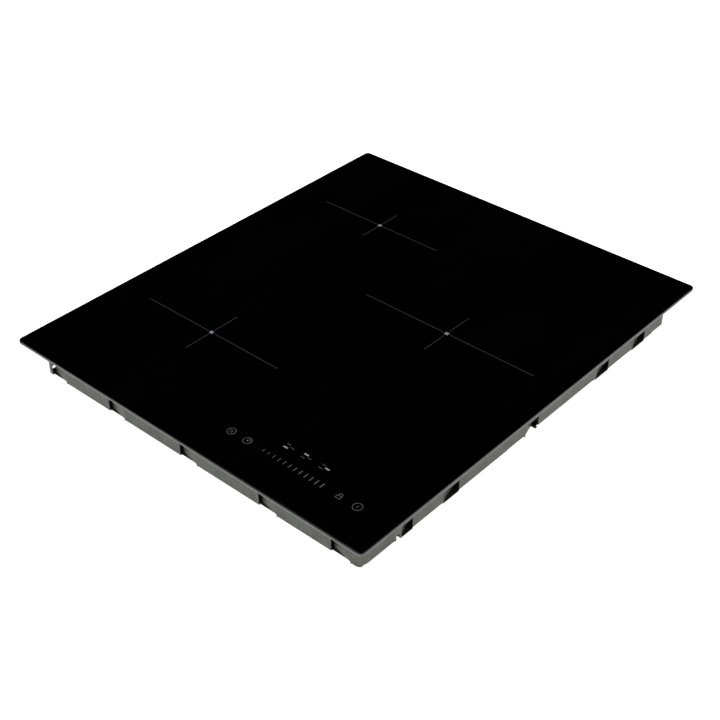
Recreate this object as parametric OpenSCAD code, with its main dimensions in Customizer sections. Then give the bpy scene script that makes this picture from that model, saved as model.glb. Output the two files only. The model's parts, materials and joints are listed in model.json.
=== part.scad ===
// Built-in electric induction cooktop with three cooking zones and touch controls.
// Origin at the middle of the base. X to the right, Y to the back, Z up. Millimetres.

/* [Glass] */
// Width of the glass plate, left to right
glass_w = 450; // [440:5:600]
// Depth of the glass plate, front to back
glass_d = 520; // [500:5:640]
// Thickness of the glass plate
glass_t = 4; // [3:0.5:6]
// Radius of the glass plate's corners, seen from above
glass_r = 5; // [2:0.5:12]
// Size of the ground bevel along the glass edges
glass_bevel = 0.5; // [0.2:0.1:1]
// Height of the whole cooktop, base to glass top
overall_h = 44; // [42:0.5:60]

/* [Tray] */
// How far the glass stands past the tray at the left
left_overhang = 11.1; // [10:0.1:20]
// How far the glass stands past the tray at the right
right_overhang = 17.5; // [15:0.5:25]
// How far the glass stands past the tray at the front and back
end_overhang = 19.5; // [15:0.5:25]
// Thickness of the tray's sheet metal
sheet_t = 0.8; // [0.6:0.1:1.2]
// Outer radius of the tray's upright corners
tray_r = 9; // [4:0.5:14]
// Outer radius of the bend under the left and right walls
side_bend = 2; // [1.5:0.1:3]
// Outer radius of the bend under the front and back walls
end_bend = 1.3; // [1.3:0.1:3]
// Gap between the tray walls' top edge and the glass
wall_gap = 0.5; // [0.2:0.1:1.5]

/* [Air vents] */
// Open ends of the vents along the front and back walls
end_vents = [-203.2, -116, -15.6, 86.5, 173];
// Vents along the left and right walls: open end, length, how much of the length has a floor
side_vents = [[-173.2, 15.3, 15.3], [-108.5, 22, 22], [12.6, 20.6, 4.6], [132.3, 22, 22], [199.1, 22, 22]];
// Length of a vent in the front or back wall
end_vent_l = 22; // [12:1:25]
// How far a front or back vent is pressed in at its open end
end_vent_in = 4.4; // [2:0.1:6]
// How far a side vent is pressed in at its open end
side_vent_in = 6.5; // [2:0.1:7]
// Height of the front and back vents above the base
end_vent_top = 17; // [10:0.5:20]
// Height of the side vents above the base
side_vent_top = 12.7; // [8:0.1:16]
// Setback of the floor's edge under a front or back vent
vent_ledge = 2.3; // [0:0.1:3]
// Raised stretches of the side walls' lower edge: middle, length, height, depth
edge_reliefs = [
  [-218, 44, 2.4, 2.4], [-192.3, 5.8, 6.4, 8], [-23, 26, 2, 2],
  [-6, 4, 4.4, 2], [58.5, 95, 2, 2], [228, 28, 2.4, 2.4]
];
// Width of one air slot in the floor under a fan
slot_w = 3; // [2:0.5:3.5]
// Distance between neighbouring air slots
slot_pitch = 5.4; // [4:0.1:7]

/* [Frame and seal] */
// Thickness of the adhesive between the glass and its frame
glue_t = 1; // [0.5:0.1:2]
// Thickness of the frame's steel
frame_t = 1; // [0.8:0.1:1.5]
// Width of the frame's flange under the glass
frame_flange = 12; // [8:0.5:14]
// Depth of the frame's skirt inside the tray walls
frame_skirt = 13; // [10:0.5:14]
// Thickness of the foam seal that rests on the worktop
seal_t = 2.5; // [1.5:0.5:4]
// Gap between the foam seal and the frame screws' heads
seal_gap = 0.3; // [0.2:0.1:2]
// Distance of the foam seal from the glass edge
seal_inset = 4; // [2:0.5:6]
// Distance between the two bracket holes in each side wall
bracket_pitch = 240; // [160:10:320]
// Radius of a bracket hole
bracket_hole_r = 2.1; // [1.5:0.1:2.5]
// Height of the bracket holes above the base
bracket_z = 20; // [18:0.5:22]
// Distance of the frame screws in the side walls from the middle
side_screw_y = 190; // [150:5:200]
// Distance of the frame screws in the front and back walls from the middle
end_screw_x = 150; // [100:5:160]

/* [Cooking zones] */
// Middle of the front left zone
front_left_at = [-90.5, -126];
// Middle of the rear left zone
rear_left_at = [-100, 138.5];
// Middle of the right zone
right_at = [85, 25];
// Diameter of the front left zone
front_left_d = 180; // [150:5:185]
// Diameter of the rear left zone
rear_left_d = 160; // [145:5:165]
// Diameter of the right zone
right_d = 210; // [180:5:215]
// How much smaller across a coil is than its zone
coil_margin = 14; // [10:1:20]
// Diameter of the opening in the middle of a coil
coil_eye = 46; // [36:1:50]
// Thickness of the coil's stranded wire
strand_d = 3.6; // [2.4:0.2:4]
// Thickness of the insulating mat on a coil
mat_t = 1.5; // [1:0.1:2]
// Thickness of the plate that carries a coil
carrier_t = 1.5; // [1.2:0.1:2]
// Height of a ferrite bar
ferrite_h = 4; // [3:0.2:5]
// Width of a ferrite bar
ferrite_w = 5; // [4:0.5:8]
// Number of ferrite bars under a coil
ferrite_count = 8; // [6:2:8]
// Gap under the ferrite bars
ferrite_gap = 0.4; // [0.2:0.1:1]
// Thickness of the aluminium shield under a coil
shield_t = 1; // [0.8:0.1:1.5]
// Diameter of the pillars that hold a shield up
pillar_d = 8; // [7:0.5:9]

/* [Printed marks] */
// Width of a printed line
line_w = 0.6; // [0.4:0.1:1.5]
// Thickness of the printed enamel
print_t = 0.04; // [0.02:0.01:0.1]
// Side of the small square in the middle of a zone
zone_dot = 4; // [2:0.2:5]
// Gap between the small square and the zone's lines
zone_gap = 4; // [2:0.5:8]
// Half length of the short line through each zone
short_half = [35, 29, 35];
// Radius of the rings round the key symbols
key_ring = 4.5; // [3:0.1:6]
// Lengths of the first and last tick of the heat slider
tick_l = [3.8, 6.2];
// Widths of the first and last tick of the heat slider
tick_w = [0.5, 1.2];
// Length and width of a bold dash in a zone selector
bold_dash = [4.8, 1.7];
// Length and width of a thin dash in a zone selector
thin_dash = [4.4, 0.6];

/* [Touch controls] */
// Middle of the row of keys, measured from the middle of the glass
keys_x = 110; // [100:1:112]
// Distance of the row of keys from the glass's front edge
keys_y = 40.2; // [38:0.2:44]
// Distance between neighbouring keys
key_pitch = 20.1; // [18:0.1:20.5]
// Length of the heat slider, first to last tick
slider_l = 70.1; // [60:0.1:72]
// Number of ticks on the heat slider
slider_ticks = 12; // [8:1:14]
// Distance of the zone selectors behind the row of keys
select_up = 18.2; // [16:0.2:20]
// Distance between neighbouring zone selectors
select_pitch = 20.8; // [18:0.2:24]
// Thickness of every circuit board
board_t = 1.6; // [1:0.2:2]
// Height of the touch contacts between board and glass
contact_h = 8.4; // [7:0.2:9]
// Thickness of the control carrier's plastic
carrier_wall = 1.5; // [1.2:0.1:2]

/* [Fans] */
// Middle of the left fan
fan_left_at = [-18, 172];
// Middle of the right fan
fan_right_at = [143, 172];
// Diameter of the fan wheel
wheel_d = 84; // [70:1:88]
// Height of the fan housing
fan_h = 18; // [17:0.5:19]
// Thickness of the fan housing's walls
fan_wall = 1.5; // [1:0.1:2]
// Clear space between the fan wheel and its housing
wheel_gap = 6.5; // [4:0.5:7]
// Number of blades
blades = 24; // [16:1:30]
// Diameter of the fan shaft
shaft_d = 3; // [2:0.5:4]
// Radial running clearance of the fan shaft
shaft_fit = 0.05; // [0.02:0.01:0.1]
// Width of the fan's air outlet
outlet_w = 42; // [36:1:44]
// Distance of the air outlet's middle from the fan's middle
outlet_off = 30; // [28:1:32]

/* [Power boards] */
// Clear height under the power boards
board_lift = 3.5; // [3:0.1:5]
// Size of the left power board
left_board = [142, 220];
// Middle of the left power board
left_board_at = [-89, -50];
// Size of the right power board
right_board = [178, 195];
// Middle of the right power board
right_board_at = [101, 2.5];
// Size of the filter board
filter_board = [54, 96];
// Middle of the filter board
filter_board_at = [62.5, 176];
// Length and height of a heat sink
sink_size = [110, 12];
// Distance of the heat sinks' rear end from the fan outlets
sink_back = 66; // [60:1:80]

/* [Terminal box] */
// Width, depth and height of the terminal box
box_size = [84, 47, 20];
// Thickness of the terminal box's walls
box_wall = 2; // [1.6:0.1:2.4]
// Middle of the terminal box, left of the middle of the tray
box_left = 154; // [140:1:155]
// Thickness of the terminal lid
lid_t = 1.6; // [1.2:0.1:1.6]
// Clear gap round the terminal lid
lid_gap = 0.6; // [0.4:0.1:1]
// Radius of the lid's hinge pins
pin_r = 1; // [0.8:0.1:1.2]
// Radial running clearance of the hinge pins
pin_fit = 0.05; // [0.02:0.01:0.1]
// Radius of the bore for the supply cable
cable_r = 5.5; // [4:0.5:6]
// Height of the supply cable's axis above the base
cable_z = 10.5; // [10:0.5:11]

/* [Fasteners] */
// Diameter of the machine screws
screw_d = 4; // [3:0.5:4]
// Head diameter of the machine screws
head_d = 7.6; // [6:0.2:8]
// Head height of the machine screws
head_h = 2.2; // [1.5:0.1:2.4]
// Diameter of the small screws for boards and fans
small_d = 2.5; // [2:0.5:3]
// Clearance between a screw and its through hole
hole_gap = 0.1; // [0.05:0.05:0.3]

/* [Hidden] */
$fn = 64;
eps = 0.01;
over = 1;

// Heights, from the base up and from the glass down
glass_z = overall_h - glass_t;
wall_top = glass_z - wall_gap;
flange_z = glass_z - glue_t - frame_t;
coil_z = glass_z - mat_t - strand_d;
carrier_z = coil_z - carrier_t;
shield_z = carrier_z - ferrite_h - ferrite_gap - shield_t;
dimple_h = head_h + 0.3;
dimple_r = head_d / 2 + 3;
seat_z = dimple_h + sheet_t;
holder_t = 1.5;
board_z = sheet_t + holder_t + board_lift;
board_top = board_z + board_t;

// Plan sizes
flat_head_h = head_h - 0.7;
seal_w = min(left_overhang, right_overhang, end_overhang) - flat_head_h - seal_inset - seal_gap;
tray_w = glass_w - left_overhang - right_overhang;
tray_x = (left_overhang - right_overhang) / 2;
tray_d = glass_d - 2 * end_overhang;
inner_w = tray_w - 2 * sheet_t;
inner_d = tray_d - 2 * sheet_t;
frame_fit = 0.1;
frame_w = inner_w - 2 * frame_fit;
frame_d = inner_d - 2 * frame_fit;
frame_r = tray_r - sheet_t - frame_fit;
frame_screw_z = flange_z - frame_skirt / 2 + 1;
frame_screw_reach = 3;

// Zones: middle, coil outer radius and the angles of the three pillars
ZONES = [
  [front_left_at, (front_left_d - coil_margin) / 2, [100, 220, 340]],
  [rear_left_at, (rear_left_d - coil_margin) / 2, [80, 180, 285]],
  [right_at, (right_d - coil_margin) / 2, [110, 230, 350]]
];
zone_d = [front_left_d, rear_left_d, right_d];
carrier_rim = 2;
shield_margin = 6;
eye_r = coil_eye / 2;
lead_hole_r = 10;
cushion_r = 4;
pillar_r = pillar_d / 2;
pillar_points = [for (z = ZONES) for (a = z[2]) z[0] + z[1] * [cos(a), sin(a)]];

// Touch controls
row_y = keys_y - glass_d / 2;
select_y = row_y + select_up;
key_x = [for (side = [-1, 1]) for (step = [0, 1]) keys_x + side * (slider_l / 2 + key_pitch * (step + 1))];
tick_x = [for (i = [0 : slider_ticks - 1]) keys_x - slider_l / 2 + slider_l * i / (slider_ticks - 1)];
select_shift = 0.2;
select_x = [for (i = [-1 : 1]) keys_x + select_shift + select_pitch * i];
unit_w = slider_l + 5 * key_pitch;
unit_front = row_y - 7;
unit_back = select_y + 12;
unit_x = keys_x - 1;
unit_z = glass_z - contact_h - board_t - 4;
control_board_z = glass_z - contact_h - board_t;
leg_r = 3.5;
leg_in = 6;
unit_legs = [
  for (x = [unit_x - unit_w / 2 + leg_in, unit_x + unit_w / 2 - leg_in])
    for (y = [unit_front + leg_in, unit_back - leg_in]) [x, y]
];
base_points = concat(pillar_points, unit_legs);

// Fans
fans = [fan_left_at, fan_right_at];
wheel_r = wheel_d / 2;
scroll_r = wheel_r + wheel_gap + fan_wall;
fan_top = sheet_t + fan_h;
ear_r = scroll_r + 3;
ear_angles = [25, 155, 300];
inlet_r = wheel_r - 12;
hub_r = 19;
stator_r = 15;
bearing_r = 4;
outlet_y = -scroll_r - 2;

// Terminal box
box_x = -box_left;
box_gap = 0.7;
box_back = inner_d / 2 - box_gap;
box_y = box_back - box_size.y / 2;
box_front = box_back - box_size.y;
box_top = sheet_t + box_size.z;
lid_w = box_size.x - 2 * box_wall - 2 * lid_gap;
barrel_r = 1.5;
hinge_y = box_front + box_wall + 3;
hinge_z = 2.4;
cable_x = box_x;
strap_y = box_back - 11;
strap_screws = [[-11, 0], [11, 0]];
gland_r = cable_r + 2;
gland_l = 9;
strap_t = 2;
strap_w = 30;

// Rectangle with round corners, centred
module rounded(w, d, r) {
  square([w - 2 * r, d], center = true);
  square([w, d - 2 * r], center = true);
  for (x = [-1, 1], y = [-1, 1]) translate([x * (w / 2 - r), y * (d / 2 - r)]) circle(r);
}

// Section of a sheet-metal tub: open top, round bends under both walls
module tub_section(w, h, r) {
  translate([-w / 2, r]) square([w, h - r]);
  translate([-w / 2 + r, 0]) square([w - 2 * r, h]);
  for (x = [-1, 1]) translate([x * (w / 2 - r), r]) circle(r);
}

// Rectangle with bevelled corners, standing on the axis
module bevelled(w, h, b) {
  polygon([
    [b - w / 2, 0], [w / 2 - b, 0], [w / 2, b], [w / 2, h - b],
    [w / 2 - b, h], [b - w / 2, h], [-w / 2, h - b], [-w / 2, b]
  ]);
}

// Extrudes a Y-Z outline along X, from x = 0
module along_x(length) {
  rotate([90, 0, 90]) linear_extrude(length) children();
}

// Extrudes an X-Z outline along Y, centred
module along_y(length) {
  rotate([90, 0, 0]) linear_extrude(length, center = true) children();
}

module at(points) {
  for (p = points) translate(p) children();
}

// Solid body of a tub, outside or inside
module tub(w, d, h, r, bend_x, bend_y) {
  intersection() {
    linear_extrude(h) rounded(w, d, r);
    along_y(d + over) tub_section(w, h, bend_x);
    translate([-w / 2 - over, 0, 0]) along_x(w + 2 * over) tub_section(d, h, bend_y);
  }
}

// A pan-head screw, its head's underside at z = 0 and its shank downwards, with a cross recess
module screw(d, length, head, height) {
  difference() {
    union() {
      cylinder(d = head, h = height);
      translate([0, 0, -length]) cylinder(d = d, h = length + eps);
    }
    for (a = [0, 90]) rotate(a) translate([-head / 4, -head / 16, height / 2])
      cube([head / 2, head / 8, height]);
  }
}

// Round tube along a list of points, for a lead
function unit(v) = v / norm(v);
function smooth(p) = [
  for (i = [0 : len(p) - 1])
    each (i == 0 || i == len(p) - 1) ? [p[i]] : [0.7 * p[i] + 0.3 * p[i - 1], 0.7 * p[i] + 0.3 * p[i + 1]]
];
function heading(p, i) = unit(p[min(i + 1, len(p) - 1)] - p[max(i - 1, 0)]);

module lead(route, d, across) {
  path = smooth(smooth(route));
  sides = 6;
  rings = len(path);
  points = [
    for (i = [0 : rings - 1])
      let (t = heading(path, i), u = unit(cross(across, t)), v = cross(t, u))
        for (k = [0 : sides - 1]) path[i] + d / 2 * (cos(360 * k / sides) * u + sin(360 * k / sides) * v)
  ];
  walls = [
    for (i = [0 : rings - 2], k = [0 : sides - 1])
      let (n = (k + 1) % sides)
        [i * sides + k, (i + 1) * sides + k, (i + 1) * sides + n, i * sides + n]
  ];
  start = [for (k = [0 : sides - 1]) k];
  end = [for (k = [sides - 1 : -1 : 0]) (rings - 1) * sides + k];
  polyhedron(points, concat([start, end], walls));
}

// ---- Glass, marks, seal and frame ----

module glass_plate() {
  color("#050506") translate([0, 0, glass_z]) intersection() {
    linear_extrude(glass_t) rounded(glass_w, glass_d, glass_r);
    along_y(glass_d + over) bevelled(glass_w, glass_t, glass_bevel);
    translate([-glass_w / 2 - over, 0, 0]) along_x(glass_w + 2 * over)
      bevelled(glass_d, glass_t, glass_bevel);
  }
}

// A long and a short line crossing at each zone, broken round a small square
module zone_marks() {
  color("#4a4d52") translate([0, 0, overall_h]) linear_extrude(print_t)
    for (i = [0 : len(ZONES) - 1]) translate(ZONES[i][0]) {
      square(zone_dot, center = true);
      for (side = [-1, 1]) {
        mark_line([side * zone_gap, 0], [side * (zone_d[i] / 2 + 0.5), 0]);
        mark_line([0, side * zone_gap], [0, side * short_half[i]]);
      }
    }
}

module mark_line(from, to) {
  along = [abs(to.x - from.x), abs(to.y - from.y)];
  translate((from + to) / 2) square([max(along.x, line_w), max(along.y, line_w)], center = true);
}

module mark_ring(r, w = line_w) {
  difference() {
    circle(r);
    circle(r - w);
  }
}

// From left to right: boost, timer, heat slider, lock and power, with the zone selectors behind
module control_marks() {
  color("#8f9399") translate([0, 0, overall_h]) linear_extrude(print_t) {
    translate([key_x[1], row_y]) boost_mark();
    translate([key_x[0], row_y]) timer_mark();
    for (i = [0 : slider_ticks - 1]) translate([tick_x[i], row_y]) tick_mark(i / (slider_ticks - 1));
    translate([key_x[2], row_y]) lock_mark();
    translate([key_x[3], row_y]) power_mark();
    for (i = [0 : 2]) translate([select_x[i], select_y]) select_glyph(i);
  }
}

module boost_mark() {
  mark_ring(key_ring);
  for (y = [-1, 1]) translate([0, y]) square([key_ring - 1, line_w], center = true);
}

module timer_mark() {
  mark_ring(key_ring);
  circle(1);
  intersection() {
    mark_ring(key_ring - 1.5);
    square(key_ring);
  }
}

module tick_mark(part) {
  square([tick_w[0], tick_l[0]] + part * [tick_w[1] - tick_w[0], tick_l[1] - tick_l[0]], center = true);
}

module lock_mark() {
  body = [5.6, 4];
  translate([0, -1.5]) difference() {
    square(body, center = true);
    square(body - 2 * [line_w, line_w], center = true);
  }
  difference() {
    translate([0, 1.5]) mark_ring(2);
    translate([0, -1.5]) square(body - [eps, eps], center = true);
  }
}

module power_mark() {
  mark_ring(key_ring + 0.3);
  square([line_w, key_ring - 1], center = true);
}

// Three dashes laid out as the zones lie, the chosen one bold
module select_glyph(chosen) {
  places = [[-2.9, -2.4], [-2.9, 2.4], [2.9, 0.2]];
  for (i = [0 : 2]) translate(places[i]) square(i == chosen ? bold_dash : thin_dash, center = true);
}

module worktop_seal() {
  color("#3c3c3c") translate([0, 0, glass_z - seal_t]) linear_extrude(seal_t)
    frame_ring(glass_w - 2 * seal_inset, glass_d - 2 * seal_inset, glass_r, seal_w);
}

module frame_ring(w, d, r, width) {
  difference() {
    rounded(w, d, r);
    rounded(w - 2 * width, d - 2 * width, max(r - width, 1));
  }
}

module frame_adhesive() {
  color("#202020") translate([tray_x, 0, glass_z - glue_t]) linear_extrude(glue_t)
    frame_ring(frame_w - 4, frame_d - 4, frame_r - 2, frame_flange - 4);
}

// Where the tray is screwed to the frame: place and outward direction
frame_screw_places = concat(
  [for (x = [-1, 1], y = [-1, 1]) [tray_x + x * tray_w / 2, y * side_screw_y, x > 0 ? 0 : 180]],
  [for (x = [-1, 1], y = [-1, 1]) [x * end_screw_x, y * tray_d / 2, y > 0 ? 90 : 270]]
);

module at_frame_screws() {
  for (p = frame_screw_places) translate([p.x, p.y, frame_screw_z]) rotate(p.z) rotate([0, 90, 0]) children();
}

module glass_frame() {
  color("#9a9c9e") difference() {
    union() {
      translate([tray_x, 0, flange_z]) linear_extrude(frame_t)
        frame_ring(frame_w, frame_d, frame_r, frame_flange);
      translate([tray_x, 0, flange_z - frame_skirt]) linear_extrude(frame_skirt + eps)
        frame_ring(frame_w, frame_d, frame_r, frame_t);
      at_frame_screws() translate([0, 0, -frame_screw_reach])
        cylinder(d = screw_d + 3, h = frame_screw_reach - 1.2);
    }
    at_frame_screws() translate([0, 0, -over - frame_screw_reach])
      cylinder(d = screw_d, h = 2 * frame_screw_reach);
  }
}

module frame_screws() {
  color("#b5b7b8") at_frame_screws() screw(screw_d, frame_screw_reach, head_d - 1, flat_head_h);
}

// ---- Base tray ----

// The space pressed in from outside by one vent, open end at x = 0, inwards along Y
module vent_space(length, depth, top, knee) {
  intersection() {
    along_x(length) polygon([[-over, sheet_t], [-over, top], [0, top], [depth, knee], [depth, sheet_t]]);
    linear_extrude(top + over) vent_plan(length, depth);
  }
}

module vent_plan(length, depth) {
  far = 1;
  polygon([[0, -over], [0, depth], [length, far], [length, -over]]);
}

// What is cut out of the floor under a front or back vent: its edge, set back
module vent_setback() {
  translate([0, -over, -over]) cube([end_vent_l, vent_ledge + over, sheet_t + over + eps]);
}

// What is cut out of the floor under a side vent: all of it past the part that stays
module vent_floor(length, kept) {
  if (kept < length) translate([0, 0, -over]) linear_extrude(sheet_t + over + eps) intersection() {
    vent_plan(length, side_vent_in);
    translate([kept, -over]) square([length, side_vent_in + over]);
  }
}

// The sheet round that space, closed at the far end
module vent_skin(length, depth, top, knee) {
  far = 1 + sheet_t;
  back = depth + sheet_t;
  intersection() {
    along_x(length + sheet_t) polygon([[0, 0], [0, top + sheet_t], [back, knee + sheet_t], [back, 0]]);
    linear_extrude(top + 2 * over)
      polygon([[0, eps], [0, back], [length + sheet_t, far], [length + sheet_t, eps]]);
  }
}

// The back wall has no vents behind the terminal box
module at_end_vents() {
  clear = (box_size.x + end_vent_l) / 2 + 10;
  for (m = [0, 1]) mirror([0, m, 0]) for (x = end_vents)
    if (m == 0 || abs(x + end_vent_l / 2 - box_x) > clear) translate([x, -tray_d / 2, 0]) children();
}

module at_side_walls() {
  translate([tray_x, 0, 0]) for (m = [0, 1]) mirror([m, 0, 0]) translate([tray_w / 2, 0, 0]) children();
}

end_knee = end_vent_top - 3;
side_knee = 2.4;

// Parallel air slots filling a circle
module fan_slots() {
  count = floor(inlet_r / slot_pitch);
  for (i = [-count : count]) {
    half = sqrt(pow(inlet_r, 2) - pow(i * slot_pitch, 2));
    if (half > 2 * slot_w) translate([i * slot_pitch, 0]) {
      square([slot_w, 2 * half - slot_w], center = true);
      for (side = [-1, 1]) translate([0, side * (half - slot_w / 2)]) circle(slot_w / 2);
    }
  }
}

// Stiffening grooves pressed up into the floor: middle, length
floor_grooves = [[[-182, -60], 150], [[0, -60], 150], [[198, -58], 80], [[198, 61], 80]];
groove_w = 8;
groove_h = 1.5;

module groove(length, w, h) {
  linear_extrude(h) {
    square([w, length], center = true);
    for (side = [-1, 1]) translate([0, side * length / 2]) circle(w / 2);
  }
}

module base_tray() {
  color("#6f7369") difference() {
    union() {
      difference() {
        translate([tray_x, 0, 0]) tub(tray_w, tray_d, wall_top, tray_r, side_bend, end_bend);
        translate([tray_x, 0, sheet_t])
          tub(inner_w, inner_d, wall_top, tray_r - sheet_t, side_bend - sheet_t, end_bend - sheet_t);
      }
      at_end_vents() vent_skin(end_vent_l, end_vent_in, end_vent_top, end_knee);
      at_side_walls() for (v = side_vents)
        translate([0, v[0], 0]) mirror([1, 1, 0]) vent_skin(v[1], side_vent_in, side_vent_top, side_knee);
      at(base_points) cylinder(r = dimple_r + sheet_t, h = seat_z);
      for (g = floor_grooves) translate(g[0]) groove(g[1], groove_w + 2 * sheet_t, groove_h + sheet_t);
    }
    at_end_vents() vent_space(end_vent_l, end_vent_in, end_vent_top, end_knee);
    at_end_vents() vent_setback();
    at_side_walls() for (v = side_vents) translate([0, v[0], 0]) mirror([1, 1, 0]) {
      vent_space(v[1], side_vent_in, side_vent_top, side_knee);
      vent_floor(v[1], v[2]);
    }
    at_side_walls() for (r = edge_reliefs)
      translate([0, r[0], 0]) cube([2 * r[3], r[1], 2 * r[2]], center = true);
    at(base_points) {
      translate([0, 0, -over]) cylinder(r = dimple_r, h = dimple_h + over);
      cylinder(d = screw_d + 2 * hole_gap, h = seat_z + over);
    }
    for (g = floor_grooves) translate([g[0].x, g[0].y, -over]) groove(g[1], groove_w, groove_h + over);
    at(fans) translate([0, 0, -over]) linear_extrude(sheet_t + 2 * over) fan_slots();
    at_frame_screws() translate([0, 0, -3]) cylinder(d = screw_d + 2 * hole_gap, h = 6);
    for (y = [-1, 1]) translate([tray_x, y * bracket_pitch / 2, bracket_z]) rotate([0, 90, 0])
      cylinder(r = bracket_hole_r, h = tray_w + 2 * over, center = true);
    translate([box_x, box_y, 0])
      cube([lid_w + 2 * lid_gap, box_size.y - 2 * box_wall, 3 * over], center = true);
    translate([cable_x, tray_d / 2, cable_z]) rotate([90, 0, 0]) cylinder(r = gland_r, h = 6, center = true);
  }
}

// ---- Pillars and their screws ----

module pillars() {
  color("#c9b26a") at(pillar_points) difference() {
    translate([0, 0, seat_z]) cylinder(r = pillar_r, h = shield_z - seat_z);
    translate([0, 0, seat_z - over]) cylinder(d = screw_d, h = shield_z);
  }
}

module base_screws() {
  color("#b5b7b8") at(base_points) translate([0, 0, dimple_h]) mirror([0, 0, 1])
    screw(screw_d, 8, head_d, head_h);
}

module shield_screws() {
  color("#b5b7b8") at(pillar_points) translate([0, 0, shield_z + shield_t]) screw(screw_d, 8, head_d, head_h);
}

// ---- Cooking zones ----

module at_zone(i) {
  translate(ZONES[i][0]) children();
}

module coil_mat(i) {
  color("#e6e2d6") at_zone(i) translate([0, 0, glass_z - mat_t]) difference() {
    cylinder(r = ZONES[i][1] + 2, h = mat_t);
    translate([0, 0, -over]) cylinder(r = 5, h = mat_t + 2 * over);
  }
}

// Flat winding, its turns side by side
module coil(i) {
  pitch = strand_d - 0.1;
  turns = floor((ZONES[i][1] - eye_r) / pitch);
  color("#b5682f") at_zone(i) translate([0, 0, coil_z + strand_d / 2]) rotate_extrude($fn = 96)
    for (n = [0 : turns - 1])
      translate([ZONES[i][1] - strand_d / 2 - n * pitch, 0]) circle(strand_d / 2, $fn = 24);
}

module coil_carrier(i) {
  r = ZONES[i][1];
  color("#efece2") at_zone(i) translate([0, 0, carrier_z]) difference() {
    union() {
      cylinder(r = r + carrier_rim + 0.3, h = carrier_t);
      ring(r + 0.3, r + 0.3 + carrier_rim, carrier_t + strand_d - 0.6);
      ring(8, eye_r - strand_d, carrier_t + 1);
    }
    translate([0, 0, -over]) cylinder(r = 8, h = carrier_t + 3 * over);
    for (a = [0 : 45 : 315]) rotate(a + 22.5)
      translate([(r + eye_r) / 2 + 4, 0, -over]) cylinder(r = 3, h = carrier_t + 1.9 * over);
  }
}

module ring(inner, outer, h) {
  difference() {
    cylinder(r = outer, h = h);
    translate([0, 0, -over]) cylinder(r = inner, h = h + 2 * over);
  }
}

module coil_ferrites(i) {
  bar = ZONES[i][1] - eye_r - 10;
  color("#3a3a3d") at_zone(i) for (k = [0 : ferrite_count - 1])
    rotate(360 * k / ferrite_count) translate([eye_r + 4, -ferrite_w / 2, carrier_z - ferrite_h])
      cube([bar, ferrite_w, ferrite_h]);
}

module coil_shield(i) {
  r = ZONES[i][1];
  color("#c8cacc") at_zone(i) translate([0, 0, shield_z]) difference() {
    cylinder(r = r + shield_margin, h = shield_t);
    translate([0, 0, -over]) cylinder(r = lead_hole_r, h = shield_t + 2 * over);
    for (a = ZONES[i][2]) rotate(a) translate([r, 0, -over])
      cylinder(d = screw_d + 2 * hole_gap, h = shield_t + 2 * over);
  }
}

module coil_cushions() {
  color("#c65a3c") for (z = ZONES) translate(z[0]) for (a = [0 : 90 : 270]) rotate(a + 22.5)
    translate([(z[1] + eye_r) / 2, 0, shield_z + shield_t])
      ring(1.5, cushion_r, carrier_z - shield_z - shield_t);
}

module heat_sensors() {
  color("#d8d4c4") for (z = ZONES) translate(z[0]) {
    translate([0, 0, carrier_z - 1.2]) cylinder(r = 10, h = 1.2);
    translate([0, 0, carrier_z - 0.2]) cylinder(r = 7.9, h = carrier_t + 1.2);
    translate([0, 0, carrier_z + carrier_t]) cylinder(r = 3, h = glass_z - carrier_z - carrier_t);
  }
}

// Board terminals that the two leads of each coil reach
lead_ends = [front_left_at, [rear_left_at.x, left_board_at.y + left_board.y / 2 - 16], right_at - [20, 0]];
lead_gap = 4.5;
lead_d = 3;
tag_h = 5;

module coil_leads() {
  color("#8c2f22") for (i = [0 : 2], side = [-1, 1]) {
    top = [ZONES[i][0].x + side * lead_gap, ZONES[i][0].y, carrier_z - 1.2];
    foot = [lead_ends[i].x + side * 8, lead_ends[i].y, board_top + tag_h];
    middle = (shield_z + foot.z) / 2;
    lead([top, [top.x, top.y, shield_z - 2], [foot.x, foot.y, middle], foot], lead_d, [0, 1, 0.01]);
  }
}

// ---- Touch control unit ----

module control_carrier() {
  w = unit_w;
  d = unit_back - unit_front;
  inner = 2 * carrier_wall;
  seat = inner + 4;
  y = (unit_front + unit_back) / 2;
  color("#e9e9e6") difference() {
    union() {
      translate([unit_x, y, unit_z]) difference() {
        linear_extrude(glass_z - unit_z) rounded(w, d, 3);
        translate([0, 0, control_board_z - unit_z])
          linear_extrude(contact_h + board_t + over) rounded(w - inner, d - inner, 1.5);
        translate([0, 0, carrier_wall])
          linear_extrude(contact_h + 2 * board_t) rounded(w - seat, d - seat, 1);
      }
      at(unit_legs) translate([0, 0, seat_z]) cylinder(r = leg_r, h = unit_z - seat_z + eps);
    }
    at(unit_legs) translate([0, 0, seat_z - over]) cylinder(d = screw_d, h = 10 + over);
    translate([unit_x - 7, unit_back - 6, unit_z + carrier_wall + 0.4]) cube([14, 8, 3]);
  }
}

module control_board() {
  d = unit_back - unit_front - 2 * carrier_wall - 0.4;
  color("#1f6b3a") translate([unit_x, (unit_front + unit_back) / 2, control_board_z])
    linear_extrude(board_t) rounded(unit_w - 2 * carrier_wall - 0.4, d, 1.3);
}

// Bellows-shaped contact pads that press the key sensors to the glass
module touch_contacts() {
  places = concat(
    [for (x = key_x) [x, row_y]],
    [for (x = tick_x) [x, row_y]],
    [for (x = select_x) [x, select_y]]
  );
  folds = 4;
  step = contact_h / folds;
  color("#2b2b2b") at(places) translate([0, 0, glass_z - contact_h]) rotate_extrude($fn = 32) polygon(concat(
    [[0, 0]],
    [for (i = [0 : folds - 1]) each [[2.6, i * step], [1.9, (i + 0.5) * step]]],
    [[2.6, contact_h], [0, contact_h]]
  ));
}

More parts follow.
